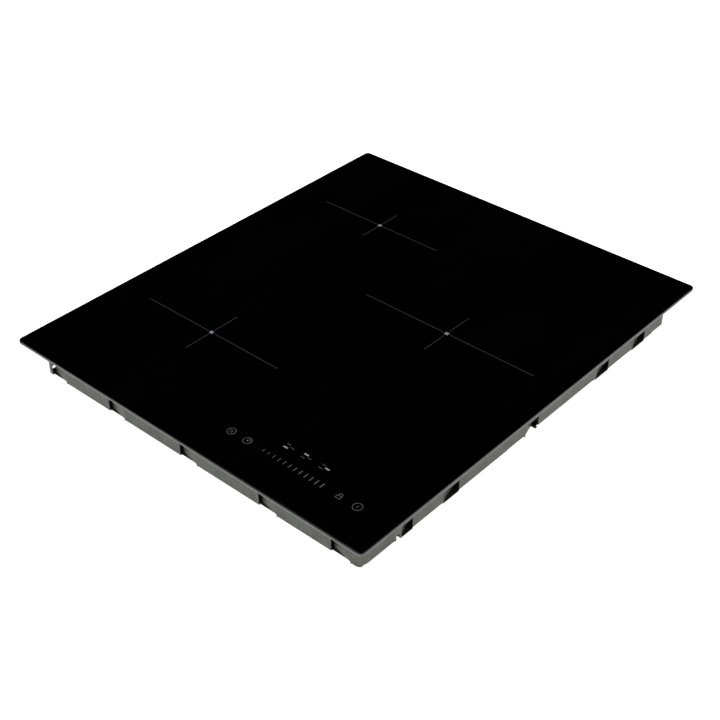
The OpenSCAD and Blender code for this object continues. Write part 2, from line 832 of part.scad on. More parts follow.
module indicator_lamps() {
  places = concat([for (x = tick_x) [x, row_y + 6]], [for (x = select_x) [x, select_y - 6]]);
  color("#d94a32") at(places) translate([-1, -1.5, glass_z - contact_h]) cube([2, 3, 1.2]);
}

// Flat ribbon from the control unit down to the right power board
module control_ribbon() {
  w = 12;
  t = 0.6;
  top = unit_z + carrier_wall + 1;
  low = board_top;
  start = unit_back - 5;
  end = right_board_at.y - right_board.y / 2;
  color("#c9cdd1") translate([unit_x - w / 2, 0, 0]) along_x(w) polygon([
    [start, top], [start + 12, top], [end - 12, low + 3], [end, low + 3], [end + 6, low], [end + 7, low],
    [end + 7, low + t], [end + 6.2, low + t], [end, low + 3 + t], [end - 12, low + 3 + t],
    [start + 12, top + t], [start, top + t]
  ]);
}

// ---- Power boards ----

module board_holder(at_point, size) {
  rim = 1.2;
  difference() {
    translate([at_point.x, at_point.y, sheet_t]) {
      linear_extrude(holder_t) square(size + [4, 4], center = true);
      linear_extrude(holder_t + board_lift + board_t + 1) frame_ring(size.x + 4, size.y + 4, 2, rim);
      at(board_corners(size)) cylinder(r = 3, h = holder_t + board_lift);
    }
    for (p = base_points) translate([p.x, p.y, 0])
      cylinder(r = dimple_r + sheet_t + 0.5, h = board_top + 2 * over);
    translate([at_point.x, at_point.y, sheet_t + 0.5]) at(board_corners(size))
      cylinder(d = small_d, h = board_z);
    for (f = fans) translate([f.x, f.y, 0]) cylinder(r = scroll_r + 1, h = fan_top);
    for (f = fans) outlet_space(f);
    for (g = floor_grooves) translate([g[0].x, g[0].y, 0])
      groove(g[1], groove_w + 4 * sheet_t, groove_h + sheet_t + 0.2);
  }
}

function board_corners(size) = [for (x = [-1, 1], y = [-1, 1]) [x * (size.x / 2 - 6), y * (size.y / 2 - 6)]];

// Path of the air between a fan's outlet and its heat sink
module outlet_space(f) {
  translate([f.x - outlet_off - outlet_w / 2 - 1, f.y + outlet_y - sink_back - 1, board_z])
    cube([outlet_w + 2, sink_back + 2, fan_h]);
}

module power_board(at_point, size) {
  color("#2f6b45") difference() {
    union() {
      translate([at_point.x, at_point.y, board_z]) linear_extrude(board_t) square(size, center = true);
      for (e = lead_ends) if (on_board(e, at_point, size)) for (side = [-1, 1])
        translate([e.x + side * 8 - 3, e.y - 3, board_top - eps]) cube([6, 6, tag_h + eps]);
    }
    for (p = pillar_points) translate([p.x, p.y, board_z - over])
      cylinder(r = pillar_r + 1.5, h = board_t + 2 * over);
    translate([at_point.x, at_point.y, board_z - over]) at(board_corners(size))
      cylinder(d = small_d + 2 * hole_gap, h = board_t + 2 * over);
  }
}

function on_board(p, middle, size) = abs(p.x - middle.x) < size.x / 2 && abs(p.y - middle.y) < size.y / 2;
function sink_at(f) = [f.x - outlet_off, f.y + outlet_y - sink_back - sink_size.x / 2];

// Extruded aluminium heat sink, its fins along the air stream
module heat_sink(f) {
  fins = 10;
  fin_t = 1.2;
  base = 3;
  pitch = (outlet_w - fin_t) / (fins - 1);
  color("#b9bcbf") translate([sink_at(f).x, sink_at(f).y, board_top]) along_y(sink_size.x) {
    translate([-outlet_w / 2, 0]) square([outlet_w, base]);
    for (i = [0 : fins - 1]) translate([i * pitch - outlet_w / 2, base - eps])
      square([fin_t, sink_size.y - base]);
  }
}

transistor = [4, 15, 10];

module power_transistors() {
  pitch = 25;
  color("#18181a") for (f = fans, k = [-1.5 : 1 : 1.5])
    translate([sink_at(f).x - outlet_w / 2 - transistor.x, sink_at(f).y + k * pitch, board_top])
      translate([0, -transistor.y / 2, 0]) cube(transistor);
}

// Capacitors beside each heat sink, away from pillars and coil terminals
capacitor_places = [
  [-142, -130], [-142, -95], [-142, -60], [-142, -20], [-120, 20], [-60, -90], [-60, -125],
  [40, -70], [40, -20], [40, 60], [165, -60], [165, -30], [165, 60]
];

module film_capacitors() {
  size = [14, 26, 15];
  color("#c9a227") at(capacitor_places) translate([-size.x / 2, -size.y / 2, board_top]) difference() {
    cube(size);
    translate([2, -over, size.z - 0.6]) cube([1, size.y + 2 * over, 1]);
  }
}

module board_screws() {
  boards = [[left_board_at, left_board], [right_board_at, right_board], [filter_board_at, filter_board]];
  color("#b5b7b8") for (b = boards) translate([b[0].x, b[0].y, board_top]) at(board_corners(b[1]))
    screw(small_d, board_t + board_lift, 4.6, 1.6);
}

module mains_filter_board() {
  color("#2f6b45") translate([filter_board_at.x, filter_board_at.y, 0]) difference() {
    union() {
      translate([0, 0, board_z]) linear_extrude(board_t) square(filter_board, center = true);
      at(board_corners(filter_board)) translate([0, 0, sheet_t]) cylinder(r = 3, h = board_z - sheet_t + eps);
      translate([-14, filter_board.y / 2 - 17, board_top - eps]) cube([28, 10, 8]);
    }
    at(board_corners(filter_board)) translate([0, 0, sheet_t + 0.5])
      cylinder(d = small_d, h = board_z + board_t);
  }
}

module filter_chokes() {
  color("#b0662c") for (y = [-26, 8]) translate([filter_board_at.x - 8, filter_board_at.y + y, board_top + 6])
    rotate_extrude($fn = 48) translate([10, 0]) circle(6, $fn = 32);
}

module relays() {
  color("#23395d") for (y = [-38, -14, 10])
    translate([filter_board_at.x + 10, filter_board_at.y + y, board_top]) cube([15, 20, 15]);
}

// ---- Fans ----

module fan_outline(r) {
  circle(r);
  translate([-outlet_off - outlet_w / 2 - fan_wall + (scroll_r - r), outlet_y])
    square([outlet_w + 2 * (fan_wall - scroll_r + r), -outlet_y]);
}

module fan_housing(f) {
  color("#26282b") translate([f.x, f.y, sheet_t]) difference() {
    union() {
      linear_extrude(fan_h) fan_outline(scroll_r);
      for (a = ear_angles) rotate(a) translate([ear_r, 0, 0]) cylinder(r = 4, h = 5);
    }
    translate([0, 0, -over]) linear_extrude(fan_h - fan_wall + over) fan_outline(scroll_r - fan_wall);
    translate([-outlet_off - outlet_w / 2, outlet_y - over, -over])
      cube([outlet_w, 2 * over + fan_wall, fan_h - fan_wall + over]);
    for (a = ear_angles) rotate(a) translate([ear_r, 0, 1]) cylinder(d = small_d, h = fan_h);
    translate([0, 0, fan_h - fan_wall - over]) cylinder(r = bearing_r, h = fan_wall + 2 * over);
  }
}

// Stator with its poles round a bearing tube, hung from the housing's top
module fan_motor(f) {
  poles = 6;
  stator_h = 8;
  arm = 3;
  shoe = 10;
  under = fan_top - fan_wall;
  stator_z = under - stator_h - 2;
  color("#a8642e") translate([f.x, f.y, 0]) difference() {
    union() {
      translate([0, 0, under - 2.5]) cylinder(r = stator_r - 4, h = 2.5);
      translate([0, 0, stator_z - 1]) cylinder(r = bearing_r, h = under - stator_z + 1 + fan_wall);
      for (k = [0 : poles - 1]) rotate(360 * k / poles) {
        translate([0, -arm / 2, stator_z]) cube([stator_r - 1, arm, stator_h]);
        intersection() {
          translate([0, 0, stator_z]) ring(stator_r - arm, stator_r, stator_h);
          translate([0, -shoe / 2, 0]) cube([stator_r + over, shoe, fan_top]);
        }
      }
    }
    cylinder(d = shaft_d + 2 * shaft_fit, h = under);
  }
}

wheel_z = sheet_t + 2;
wheel_h = 11;
face_t = 1.5;

// Cup over the stator, back disc and a ring of curved blades
module fan_wheel(f) {
  color("#2e3033") translate([f.x, f.y, wheel_z]) difference() {
    union() {
      cylinder(r = hub_r, h = wheel_h);
      translate([0, 0, wheel_h - face_t]) cylinder(r = wheel_r, h = face_t);
      ring(wheel_r - 2, wheel_r, 1);
      for (k = [0 : blades - 1]) rotate(360 * k / blades) linear_extrude(wheel_h - face_t + eps) blade();
    }
    translate([0, 0, face_t]) cylinder(r = hub_r - 1.5, h = wheel_h);
    translate([0, 0, -over]) cylinder(d = shaft_d, h = 2 * face_t);
  }
}

module blade() {
  steps = 5;
  bow = 2.2;
  thick = 0.9;
  inner = wheel_r - 9;
  curve = [for (i = [0 : steps]) [inner + (wheel_r - 0.5 - inner) * i / steps, bow * sin(90 * i / steps)]];
  back = [for (i = [steps : -1 : 0]) curve[i] + [0, thick / 2]];
  polygon(concat([for (p = curve) p - [0, thick / 2]], back));
}

module fan_shaft(f) {
  color("#d0d2d4") translate([f.x, f.y, wheel_z])
    cylinder(d = shaft_d, h = fan_top - fan_wall - 1.5 - wheel_z);
}

// ---- Terminal box ----

module terminal_box() {
  color("#1d1e20") difference() {
    union() {
      translate([box_x, box_y, sheet_t]) difference() {
        linear_extrude(box_size.z) square([box_size.x, box_size.y], center = true);
        translate([0, 0, -over]) linear_extrude(box_size.z - 1.6 + over)
          square([box_size.x - 2 * box_wall, box_size.y - 2 * box_wall], center = true);
      }
      translate([cable_x, strap_y, cable_z - cable_r]) at(strap_screws)
        cylinder(r = 3, h = box_top - 1 - cable_z + cable_r);
    }
    translate([cable_x, box_back, cable_z]) rotate([90, 0, 0])
      cylinder(r = gland_r, h = 3 * box_wall, center = true);
    translate([box_x, hinge_y, hinge_z]) rotate([0, 90, 0])
      cylinder(r = pin_r + pin_fit, h = box_size.x - box_wall / 2, center = true);
    translate([cable_x, strap_y, 0]) at(strap_screws) cylinder(d = small_d, h = box_top - 3);
    translate([box_x + box_size.x / 2, box_back - 10, 12]) cube([3 * box_wall, 10, 6], center = true);
  }
}

// Five-way terminal block with brass clamps, hung under the box's top
module terminal_block() {
  ways = 5;
  pitch = 11;
  size = [ways * pitch + 3, 15, 11];
  color("#e4e1d4") translate([box_x - size.x / 2, box_front + 8, box_top - 1.6 - size.z]) difference() {
    cube(size);
    for (k = [0 : ways - 1]) translate([1.5 + pitch * (k + 0.5), 0, 0]) {
      translate([0, size.y + over, size.z / 2]) rotate([90, 0, 0]) cylinder(r = 2.4, h = size.y / 2);
      translate([0, size.y / 3, -over]) cylinder(r = 2, h = 5);
    }
    for (k = [1 : ways - 1]) translate([1 + pitch * k, -over, -over]) cube([1, size.y + 2 * over, 3]);
  }
}

// Strap under the supply cable, drawn up by two screws
module cable_clamp() {
  low = cable_z - cable_r - strap_t;
  color("#1d1e20") translate([cable_x, strap_y, low]) difference() {
    translate([-strap_w / 2, -4, 0]) cube([strap_w, 8, strap_t]);
    at(strap_screws) translate([0, 0, -over]) cylinder(d = small_d + 2 * hole_gap, h = strap_t + 2 * over);
  }
  color("#b5b7b8") translate([cable_x, strap_y, low]) at(strap_screws) mirror([0, 0, 1])
    screw(small_d, 8, 4.6, 1.2);
}

// Rubber gland that grips the tray's and the box's walls between two collars
module cable_gland() {
  collar = 1.5;
  grip = sheet_t + box_gap + box_wall + 0.1;
  color("#151516") translate([cable_x, tray_d / 2 + collar, cable_z]) rotate([90, 0, 0]) difference() {
    union() {
      cylinder(r = gland_r, h = gland_l);
      cylinder(r = gland_r + collar, h = collar);
      translate([0, 0, collar + grip]) cylinder(r = gland_r + 1, h = collar);
    }
    translate([0, 0, -over]) cylinder(r = cable_r, h = gland_l + 2 * over);
  }
}

// Lid in the floor under the terminals, hinged at its front edge
module terminal_lid() {
  back = box_back - box_wall - lid_gap;
  color("#232427") {
    difference() {
      translate([box_x - lid_w / 2, hinge_y - 1, 0]) cube([lid_w, back - hinge_y + 1, lid_t]);
      translate([box_x - 8, back - 3, -over]) cube([16, 1.2, lid_t + 2 * over]);
    }
    translate([box_x, hinge_y, hinge_z]) rotate([0, 90, 0]) {
      cylinder(r = barrel_r, h = lid_w, center = true);
      cylinder(r = pin_r, h = lid_w + 2 * lid_gap + 1.6, center = true);
    }
  }
}

// ---- Leads ----

// Three leads side by side, kept apart where they slant down to the filter board
module mains_leads() {
  from = [box_x + box_size.x / 2 - 6, box_back - 10, 12];
  to = [filter_board_at.x, filter_board_at.y + filter_board.y / 2 - 12, board_top + 4];
  run_y = inner_d / 2 - 10;
  slant = 24;
  apart = 3.3;
  slip = apart * tan(atan2(run_y - to.y, slant) / 2);
  shades = ["#5b3a29", "#2f5fa8", "#7fae3a"];
  for (k = [-1 : 1]) color(shades[k + 1]) translate([0, apart * k, 0]) lead([
    from, from + [16, 0, 0], [from.x + 40, run_y, 10], [to.x - 26 - slant + slip * k, run_y, 10],
    [to.x - 26 + slip * k, to.y, to.z], [to.x - 14, to.y, to.z]
  ], 2.6, [0, 0, 1]);
}

glass_plate();
zone_marks();
control_marks();
worktop_seal();
frame_adhesive();
glass_frame();
frame_screws();
base_tray();
pillars();
base_screws();
shield_screws();
coil_mat(0);  // front_left_mat
coil(0);  // front_left_coil
coil_carrier(0);  // front_left_carrier
coil_ferrites(0);  // front_left_ferrites
coil_shield(0);  // front_left_shield
coil_mat(1);  // rear_left_mat
coil(1);  // rear_left_coil
coil_carrier(1);  // rear_left_carrier
coil_ferrites(1);  // rear_left_ferrites
coil_shield(1);  // rear_left_shield
coil_mat(2);  // right_mat
coil(2);  // right_coil
coil_carrier(2);  // right_carrier
coil_ferrites(2);  // right_ferrites
coil_shield(2);  // right_shield
coil_cushions();
heat_sensors();
coil_leads();
control_carrier();
control_board();
touch_contacts();
indicator_lamps();
control_ribbon();
board_holder(left_board_at, left_board);  // left_board_holder
power_board(left_board_at, left_board);  // left_power_board
heat_sink(fan_left_at);  // left_heat_sink
board_holder(right_board_at, right_board);  // right_board_holder
power_board(right_board_at, right_board);  // right_power_board
heat_sink(fan_right_at);  // right_heat_sink
power_transistors();
film_capacitors();
board_screws();
mains_filter_board();
filter_chokes();
relays();
mains_leads();
fan_housing(fan_left_at);  // left_fan_housing
fan_motor(fan_left_at);  // left_fan_motor
fan_wheel(fan_left_at);  // left_fan_wheel
fan_shaft(fan_left_at);  // left_fan_shaft
fan_housing(fan_right_at);  // right_fan_housing
fan_motor(fan_right_at);  // right_fan_motor
fan_wheel(fan_right_at);  // right_fan_wheel
fan_shaft(fan_right_at);  // right_fan_shaft
terminal_box();
terminal_block();
cable_clamp();
cable_gland();
terminal_lid();
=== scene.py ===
"""The looks of a built-in induction cooktop: a black glass plate on a satin steel tray."""

import json
import math

import bpy
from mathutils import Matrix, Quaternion, Vector

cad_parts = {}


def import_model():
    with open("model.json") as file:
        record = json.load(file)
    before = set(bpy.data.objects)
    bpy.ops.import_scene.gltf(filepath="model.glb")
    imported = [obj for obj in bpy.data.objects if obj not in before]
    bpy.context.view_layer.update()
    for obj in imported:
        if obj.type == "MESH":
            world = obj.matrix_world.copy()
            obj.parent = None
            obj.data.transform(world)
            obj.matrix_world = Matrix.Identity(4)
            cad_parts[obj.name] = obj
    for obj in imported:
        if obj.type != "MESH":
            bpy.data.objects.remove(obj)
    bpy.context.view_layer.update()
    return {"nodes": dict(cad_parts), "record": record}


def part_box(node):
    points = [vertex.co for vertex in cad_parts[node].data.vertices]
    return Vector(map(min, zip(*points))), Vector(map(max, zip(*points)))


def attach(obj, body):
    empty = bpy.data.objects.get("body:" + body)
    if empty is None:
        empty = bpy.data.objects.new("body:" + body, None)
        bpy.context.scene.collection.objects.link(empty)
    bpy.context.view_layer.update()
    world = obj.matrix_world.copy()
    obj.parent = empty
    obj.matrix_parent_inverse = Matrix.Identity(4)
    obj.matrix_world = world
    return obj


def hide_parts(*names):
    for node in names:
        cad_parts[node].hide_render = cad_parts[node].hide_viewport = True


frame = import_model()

bpy.ops.object.select_all(action="DESELECT")
MM = 0.001

# ---- Places that come from the frame ----

GLASS_LOW, GLASS_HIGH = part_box("glass_plate")
TRAY_LOW, TRAY_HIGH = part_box("base_tray")
GLASS_TOP = GLASS_HIGH.z


# ---- Camera ----

CAMERA_AT = Vector((0.7406, -0.8396, 0.8095))
CAMERA_AIM = Vector((0.0499, -0.0640, GLASS_TOP))
CAMERA_ROLL = math.radians(-0.236)
LENS_MM = 67.4


def camera():
    data = bpy.data.cameras.new("camera")
    data.lens = LENS_MM
    data.sensor_width = 36
    data.clip_end = 30
    eye = bpy.data.objects.new("camera", data)
    bpy.context.scene.collection.objects.link(eye)
    eye.location = CAMERA_AT
    eye.rotation_mode = "QUATERNION"
    turn = (CAMERA_AIM - CAMERA_AT).to_track_quat("-Z", "Y")
    eye.rotation_quaternion = turn @ Quaternion((0, 0, 1), CAMERA_ROLL)
    bpy.context.scene.camera = eye


camera()


# ---- Node helpers ----


def colour(code):
    """An sRGB hex colour as linear RGBA."""
    parts = [int(code[i : i + 2], 16) / 255 for i in (1, 3, 5)]
    return [c / 12.92 if c <= 0.04045 else ((c + 0.055) / 1.055) ** 2.4 for c in parts] + [1.0]


def add(tree, kind, inputs=(), **settings):
    """Adds a shader node, with its settings, and with a value or a link for each named input."""
    node = tree.nodes.new("ShaderNode" + kind)
    for name, value in settings.items():
        setattr(node, name, value)
    for socket, value in dict(inputs).items():
        if isinstance(value, bpy.types.NodeSocket):
            tree.links.new(value, node.inputs[socket])
        else:
            node.inputs[socket].default_value = value
    return node


def finish(name, **inputs):
    """A new material: its tree, its main shader and the object's own coordinates."""
    made = bpy.data.materials.new(name)
    made.use_nodes = True
    tree = made.node_tree
    shader = tree.nodes["Principled BSDF"]
    for socket, value in inputs.items():
        shader.inputs[socket.replace("_", " ")].default_value = value
    place = add(tree, "TexCoord").outputs["Object"]
    return made, tree, shader, place


def noise(tree, place, size_mm, detail=3.0, stretch=(1, 1, 1)):
    """Noise whose lumps are size_mm across, longer along an axis where stretch is below 1."""
    turned = add(tree, "Mapping", {"Vector": place, "Scale": stretch})
    inputs = {"Vector": turned.outputs[0], "Scale": 1 / (size_mm * MM), "Detail": detail}
    return add(tree, "TexNoise", inputs).outputs["Fac"]


def between(tree, factor, low, high, start=0.3, end=0.7):
    """Two colours, mixed by a factor that runs from start to end."""
    ramp = add(tree, "ValToRGB", {"Fac": factor})
    ramp.color_ramp.elements[0].position = start
    ramp.color_ramp.elements[0].color = colour(low)
    ramp.color_ramp.elements[1].position = end
    ramp.color_ramp.elements[1].color = colour(high)
    return ramp.outputs["Color"]


def spread(tree, factor, low, high):
    """A factor from 0 to 1, spread from low to high."""
    return add(tree, "MapRange", {"Value": factor, "To Min": low, "To Max": high}).outputs[0]


def bump(tree, shader, height, depth_mm, strength=1.0):
    """Raises the surface by depth_mm where height is 1."""
    inputs = {"Height": height, "Distance": depth_mm * MM, "Strength": strength}
    made = add(tree, "Bump", inputs)
    tree.links.new(made.outputs["Normal"], shader.inputs["Normal"])


# ---- Materials ----


def polished_black_glass():
    """Black glass-ceramic, polished: a deep black with a faint mirror and barely seen wipe marks."""
    made, tree, shader, place = finish("polished_black_glass_ceramic", IOR=1.5, Specular_IOR_Level=0.25)
    wiped = noise(tree, place, 60, 4, (1, 0.35, 1))
    tree.links.new(between(tree, wiped, "#010101", "#030303"), shader.inputs["Base Color"])
    tree.links.new(spread(tree, wiped, 0.05, 0.12), shader.inputs["Roughness"])
    return made


def ground_glass_edge(name, low, high):
    """The same glass, ground with a fine wheel: a frosted edge with streaks along it, grey, or near white
    where a pale pair of colours paints a highlight.
    """
    made, tree, shader, place = finish(name, IOR=1.5)
    streaks = noise(tree, place, 0.5, 2, (0.06, 0.06, 1))
    tree.links.new(between(tree, streaks, low, high), shader.inputs["Base Color"])
    tree.links.new(spread(tree, streaks, 0.35, 0.55), shader.inputs["Roughness"])
    bump(tree, shader, streaks, 0.02)
    return made


def satin_coated_steel():
    """Cold-rolled sheet, aluminium-zinc coated: a satin warm grey with rolled grain and soft clouds."""
    made, tree, shader, place = finish("satin_aluzinc_steel", Metallic=0.5)
    clouds = noise(tree, place, 14, 3)
    grain = noise(tree, place, 1.1, 2, (1, 1, 0.06))
    mixed = add(tree, "Math", {0: clouds, 1: grain}, operation="ADD").outputs[0]
    half = add(tree, "Math", {0: mixed, 1: 0.5}, operation="MULTIPLY").outputs[0]
    tree.links.new(between(tree, half, "#51534c", "#6b6d65", 0.36, 0.62), shader.inputs["Base Color"])
    tree.links.new(spread(tree, grain, 0.4, 0.6), shader.inputs["Roughness"])
    bump(tree, shader, grain, 0.03)
    return made


# The Mix node's sockets when it mixes colours; their names repeat, so they go by number
MIX_FACTOR, MIX_A, MIX_B, MIX_RESULT = 0, 6, 7, 2


def near(tree, place, points, reach_mm):
    """1 close to any of the points, given in millimetres, and 0 elsewhere."""
    found = None
    for x, y in points:
        flat = add(tree, "VectorMath", {0: place, 1: (1, 1, 0)}, operation="MULTIPLY").outputs[0]
        point = (x * MM, y * MM, 0)
        away = add(tree, "VectorMath", {0: flat, 1: point}, operation="DISTANCE").outputs["Value"]
        hit = add(tree, "Math", {0: away, 1: reach_mm * MM}, operation="LESS_THAN").outputs[0]
        if found is not None:
            hit = add(tree, "Math", {0: found, 1: hit}, operation="MAXIMUM").outputs[0]
        found = hit
    return found


def printed_enamel(name, low, high, bright, points, reach_mm):
    """Screen-printed enamel: thin lines of slightly grainy grey ink, bright and cool near the points."""
    made, tree, shader, place = finish(name, Roughness=0.4)
    ink = between(tree, noise(tree, place, 0.3, 2), low, high, 0.4, 0.6)
    inputs = {MIX_FACTOR: near(tree, place, points, reach_mm), MIX_A: ink, MIX_B: colour(bright)}
    mixed = add(tree, "Mix", inputs, data_type="RGBA")
    tree.links.new(mixed.outputs[MIX_RESULT], shader.inputs["Base Color"])
    bump(tree, shader, noise(tree, place, 0.2, 2), 0.01)
    return made


def surface(name, low, high, size_mm, rough, depth_mm, stretch=(1, 1, 1), fine_mm=0.4, **inputs):
    """A finish of two colours in clouds of size_mm, over a fine grain that sets the gloss and the relief."""
    made, tree, shader, place = finish(name, **inputs)
    clouds = noise(tree, place, size_mm, 4)
    grain = noise(tree, place, fine_mm, 2, stretch)
    tree.links.new(between(tree, clouds, low, high), shader.inputs["Base Color"])
    tree.links.new(spread(tree, grain, *rough), shader.inputs["Roughness"])
    bump(tree, shader, grain, depth_mm)
    return made


def cells(name, low, high, size_mm, rough, depth_mm, **inputs):
    """A finish of small cells: flakes of mica or the pores of a foam, each its own shade."""
    made, tree, shader, place = finish(name, **inputs)
    cell = add(tree, "TexVoronoi", {"Vector": place, "Scale": 1 / (size_mm * MM)})
    shade = add(tree, "SeparateColor", {0: cell.outputs["Color"]}).outputs[0]
    tree.links.new(between(tree, shade, low, high, 0.0, 1.0), shader.inputs["Base Color"])
    tree.links.new(spread(tree, shade, *rough), shader.inputs["Roughness"])
    bump(tree, shader, cell.outputs["Distance"], depth_mm)
    return made


# A wave texture at a scale of 1 repeats every WAVE_UNIT
WAVE_UNIT = 0.314


def striped(name, low, high, pitch_mm, axis, rough, depth_mm, **inputs):
    """A finish with fine ridges across one axis: wire strands, ribbon conductors or lathe marks."""
    made, tree, shader, place = finish(name, **inputs)
    inputs = {"Vector": place, "Scale": WAVE_UNIT / (pitch_mm * MM), "Distortion": 0.4}
    waves = add(tree, "TexWave", inputs, bands_direction=axis)
    tree.links.new(between(tree, waves.outputs["Fac"], low, high, 0.1, 0.9), shader.inputs["Base Color"])
    tree.links.new(spread(tree, noise(tree, place, 2, 3), *rough), shader.inputs["Roughness"])
    bump(tree, shader, waves.outputs["Fac"], depth_mm)
    return made


def solder_mask():
    """A green circuit board: a glossy mask, with copper tracks showing through as long paler stripes."""
    made, tree, shader, place = finish("green_solder_mask", IOR=1.5)
    tracks = add(tree, "TexBrick", {
        "Vector": place, "Scale": 1.0,
        "Brick Width": 13 * MM, "Row Height": 3.4 * MM, "Mortar Size": 0.6 * MM,
        "Color1": colour("#1d5a34"), "Color2": colour("#2a7044"), "Mortar": colour("#123a22"),
    })
    tree.links.new(tracks.outputs["Color"], shader.inputs["Base Color"])
    tree.links.new(spread(tree, noise(tree, place, 6, 3), 0.25, 0.45), shader.inputs["Roughness"])
    bump(tree, shader, tracks.outputs["Fac"], 0.04)
    return made


def give(piece, *materials):
    piece.data.materials.clear()
    for made in materials:
        piece.data.materials.append(made)


# ---- Modelling helpers ----


def block(name, low, high):
    """A new box from corner to corner, its place in its mesh."""
    low, high = Vector(low), Vector(high)
    bpy.ops.mesh.primitive_cube_add(size=1, location=(low + high) / 2, scale=high - low)
    piece = bpy.context.object
    piece.name = name
    bpy.ops.object.transform_apply(location=True, rotation=True, scale=True)
    return piece


def select(piece, kind, test):
    """Selects just the faces or edges that pass the test, and stays in edit mode."""
    bpy.ops.object.mode_set(mode="EDIT")
    bpy.ops.mesh.select_mode(type=kind)
    bpy.ops.mesh.select_all(action="DESELECT")
    bpy.ops.object.mode_set(mode="OBJECT")
    for item in piece.data.polygons if kind == "FACE" else piece.data.edges:
        item.select = test(item)
    bpy.ops.object.mode_set(mode="EDIT")


def ends(piece, edge):
    return [piece.data.vertices[i].co for i in edge.vertices]


def upright(piece):
    """A test for edges that run along Z."""

    def test(edge):
        a, b = ends(piece, edge)
        return abs((b - a).normalized().z) > 0.99

    return test


def all_at(piece, axis, level, slack=1e-5):
    """A test for edges whose two ends lie at a level on an axis."""

    def test(edge):
        return all(abs(v[axis] - level) < slack for v in ends(piece, edge))

    return test


def smooth(piece, degrees):
    bpy.ops.object.mode_set(mode="OBJECT")
    bpy.ops.object.select_all(action="DESELECT")
    piece.select_set(True)
    bpy.context.view_layer.objects.active = piece
    bpy.ops.object.shade_smooth_by_angle(angle=math.radians(degrees))
    bpy.ops.object.select_all(action="DESELECT")


def turned(name, profile, ring=False, sides=48):
    """A lathe piece about Z: circles of the profile's (radius, height), each drawn on from the last.

    A ring's profile closes on itself. Its first circle has no face, so it is selected by its points.
    """
    radius, height = profile[0]
    fill = "NOTHING" if ring else "NGON"
    place = (0, 0, height * MM)
    bpy.ops.mesh.primitive_circle_add(vertices=sides, radius=radius * MM, fill_type=fill, location=place)
    piece = bpy.context.object
    piece.name = name
    bpy.ops.object.transform_apply(location=True, rotation=True, scale=True)
    bpy.ops.object.mode_set(mode="EDIT")
    bpy.ops.mesh.select_mode(type="VERT")
    bpy.ops.mesh.select_all(action="SELECT")
    for next_radius, next_height in profile[1:] + (profile[:1] if ring else []):
        up = {"value": (0, 0, (next_height - height) * MM)}
        bpy.ops.mesh.extrude_region_move(TRANSFORM_OT_translate=up)
        factor = next_radius / radius
        bpy.ops.transform.resize(value=(factor, factor, 1), center_override=(0, 0, 0))
        radius, height = next_radius, next_height
    bpy.ops.mesh.select_all(action="SELECT")
    bpy.ops.mesh.remove_doubles(threshold=1e-6)
    bpy.ops.mesh.normals_make_consistent(inside=False)
    bpy.ops.object.mode_set(mode="OBJECT")
    return piece


def cut(piece, tool):
    """Cuts the tool's shape out of the piece."""
    bpy.context.view_layer.objects.active = piece
    modifier = piece.modifiers.new("cut", "BOOLEAN")
    modifier.object = tool
    modifier.solver = "EXACT"
    bpy.ops.object.modifier_apply(modifier=modifier.name)
    bpy.data.objects.remove(tool)


def soften(piece, width_mm, segments=3, degrees=40):
    """Rounds the piece's sharp edges."""
    bpy.context.view_layer.objects.active = piece
    modifier = piece.modifiers.new("soften", "BEVEL")
    modifier.width = width_mm * MM
    modifier.segments = segments
    modifier.angle_limit = math.radians(degrees)
    bpy.ops.object.modifier_apply(modifier=modifier.name)
    return piece


def move(piece, place=(0, 0, 0), turn=None):
    """Puts the piece's mesh where it belongs, turned first; its origin stays at the frame's."""
    bpy.ops.object.select_all(action="DESELECT")
    piece.select_set(True)
    bpy.context.view_layer.objects.active = piece
    if turn is not None:
        piece.rotation_euler = turn
    piece.location = place
    bpy.ops.object.transform_apply(location=True, rotation=True, scale=True)
    bpy.ops.object.select_all(action="DESELECT")
    return piece


def copy(piece):
    twin = piece.copy()
    twin.data = piece.data.copy()
    bpy.context.scene.collection.objects.link(twin)
    return twin


def join(name, pieces):
    bpy.ops.object.select_all(action="DESELECT")
    for piece in pieces:
        piece.select_set(True)
    bpy.context.view_layer.objects.active = pieces[0]
    bpy.ops.object.join()
    made = bpy.context.object
    made.name = name
    bpy.ops.object.select_all(action="DESELECT")
    return made


def islands(node):
    """The lowest and highest corner of each separate solid of a CAD node."""
    bpy.ops.object.select_all(action="DESELECT")
    twin = copy(frame["nodes"][node])
    twin.parent = None
    twin.matrix_world = frame["nodes"][node].matrix_world.copy()
    twin.select_set(True)
    bpy.context.view_layer.objects.active = twin
    bpy.ops.object.mode_set(mode="EDIT")
    bpy.ops.mesh.select_all(action="SELECT")
    bpy.ops.mesh.remove_doubles(threshold=1e-6)
    bpy.ops.mesh.separate(type="LOOSE")
    bpy.ops.object.mode_set(mode="OBJECT")
    found = []
    for part in list(bpy.context.selected_objects):
        corners = [part.matrix_world @ v.co for v in part.data.vertices]
        found.append([Vector([pick(c[i] for c in corners) for i in range(3)]) for pick in (min, max)])
        bpy.data.objects.remove(part)
    return found


def take_over(piece, node, body="hob", degrees=35):
    """The finished piece, smooth but for edges sharper than the degrees, stands in for the CAD node."""
    smooth(piece, degrees)
    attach(piece, body)
    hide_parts(node)


# ---- Finishes of the pieces kept from the frame ----

# A grain drawn out along Y
ALONG_Y = (1, 0.05, 1)
# The white dots of the zones, and the bold dash of each zone selector, in millimetres
ZONE_MIDDLES = [(-90.5, -126), (-100, 138.5), (85, 25)]
BOLD_DASHES = [(86.5, -204), (107.3, -199.2), (133.9, -201.4)]

